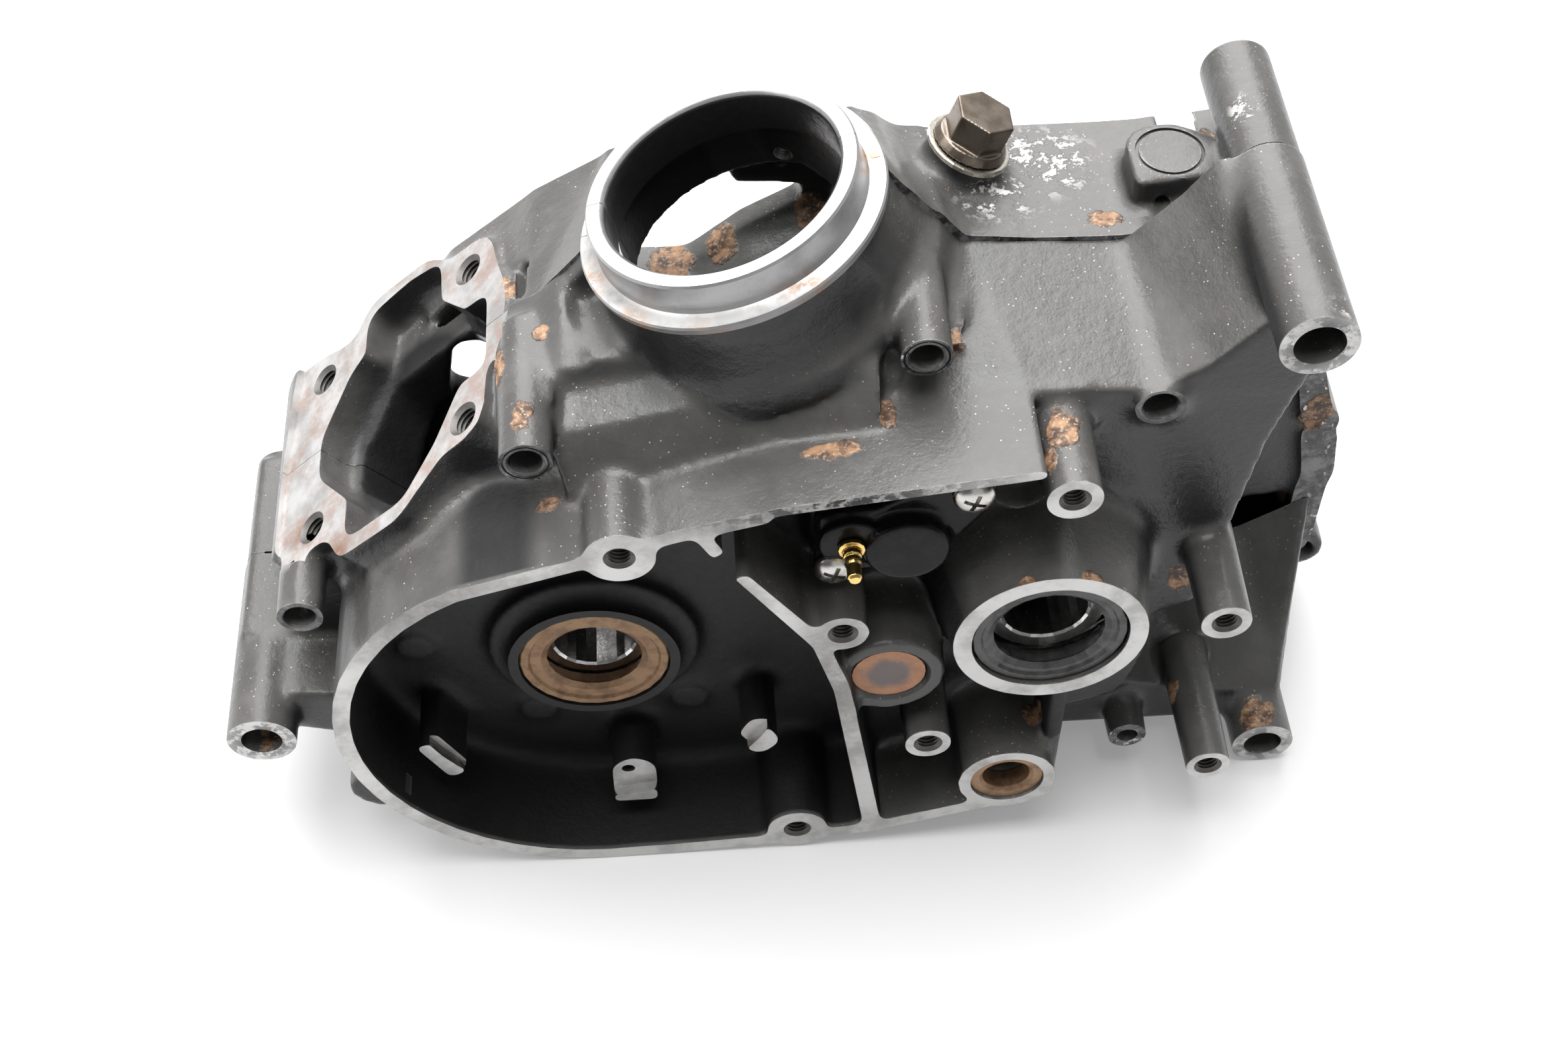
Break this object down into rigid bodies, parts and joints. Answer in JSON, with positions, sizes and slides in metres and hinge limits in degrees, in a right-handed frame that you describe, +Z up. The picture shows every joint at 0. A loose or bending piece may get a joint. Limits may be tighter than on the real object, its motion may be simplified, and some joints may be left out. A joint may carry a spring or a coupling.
{
  "type": "engine_crankcase",
  "caption": "Two-stroke engine crankcase, left and right half-castings with bearings, seals, gear switch and fasteners, painted black and worn",
  "frame": {"origin": "middle of the footprint, on the ground plane under the lowest points", "axes": "+X from the cylinder end to the gearbox end, +Y from the magneto side to the clutch side, +Z up"},
  "size_m": [0.313, 0.1116, 0.2073],
  "materials": {
    "casting": "satin black paint over cast aluminium, machined faces bare",
    "steel": "ground bearing steel",
    "dark_steel": "oxidised steel",
    "seal_brown": "steel-cased lip seal, tan with age",
    "seal_black": "steel-cased lip seal, dark",
    "copper": "copper-washed steel",
    "bronze": "dull bronze",
    "black_plastic": "glossy black phenolic",
    "brass": "turned brass",
    "zinc": "zinc-plated steel"
  },
  "bodies": {
    "case": {"left_case": "casting", "right_case": "casting", "crank_left_outer_race": "steel", "crank_right_outer_race": "steel", "output_left_outer_race": "steel", "crank_seal": "seal_brown", "output_shaft_seal": "seal_black", "shift_shaft_seal": "bronze", "mainshaft_plug": "copper", "mainshaft_bush": "bronze", "output_shaft_bush": "bronze", "dowel_1": "steel", "dowel_2": "steel", "case_screw_1": "zinc", "case_screw_2": "zinc", "case_screw_3": "zinc", "case_screw_4": "zinc", "case_screw_5": "zinc", "neutral_switch_body": "black_plastic", "neutral_switch_terminal": "brass", "neutral_switch_screw_1": "zinc", "neutral_switch_screw_2": "zinc", "top_plug_washer": "zinc", "top_plug_bolt": "dark_steel"},
    "crank_left_inner": {"crank_left_inner_race": "steel"},
    "crank_left_balls": {"crank_left_ball_cage": "steel"},
    "crank_right_inner": {"crank_right_inner_race": "steel"},
    "crank_right_balls": {"crank_right_ball_cage": "steel"},
    "output_left_inner": {"output_left_inner_race": "steel"},
    "output_left_balls": {"output_left_ball_cage": "steel"}
  },
  "joints": [
    {"name": "crank_left_race_turn", "type": "hinge", "parent": "case", "child": "crank_left_inner", "pos_m": [-0.05756, -0.0189, 0.0675], "axis": [0, 1, 0], "continuous": true},
    {"name": "crank_left_balls_turn", "type": "hinge", "parent": "case", "child": "crank_left_balls", "pos_m": [-0.05756, -0.0189, 0.0675], "axis": [0, 1, 0], "continuous": true},
    {"name": "crank_right_race_turn", "type": "hinge", "parent": "case", "child": "crank_right_inner", "pos_m": [-0.05756, 0.0445, 0.0675], "axis": [0, 1, 0], "continuous": true},
    {"name": "crank_right_balls_turn", "type": "hinge", "parent": "case", "child": "crank_right_balls", "pos_m": [-0.05756, 0.0445, 0.0675], "axis": [0, 1, 0], "continuous": true},
    {"name": "output_left_race_turn", "type": "hinge", "parent": "case", "child": "output_left_inner", "pos_m": [0.05944, -0.0372, 0.0945], "axis": [0, 1, 0], "continuous": true},
    {"name": "output_left_balls_turn", "type": "hinge", "parent": "case", "child": "output_left_balls", "pos_m": [0.05944, -0.0372, 0.0945], "axis": [0, 1, 0], "continuous": true}
  ],
  "couplings": [
    {"joint": "crank_left_balls_turn", "follows": "crank_left_race_turn", "ratio": 0.4},
    {"joint": "crank_right_balls_turn", "follows": "crank_right_race_turn", "ratio": 0.4},
    {"joint": "output_left_balls_turn", "follows": "output_left_race_turn", "ratio": 0.4}
  ]
}
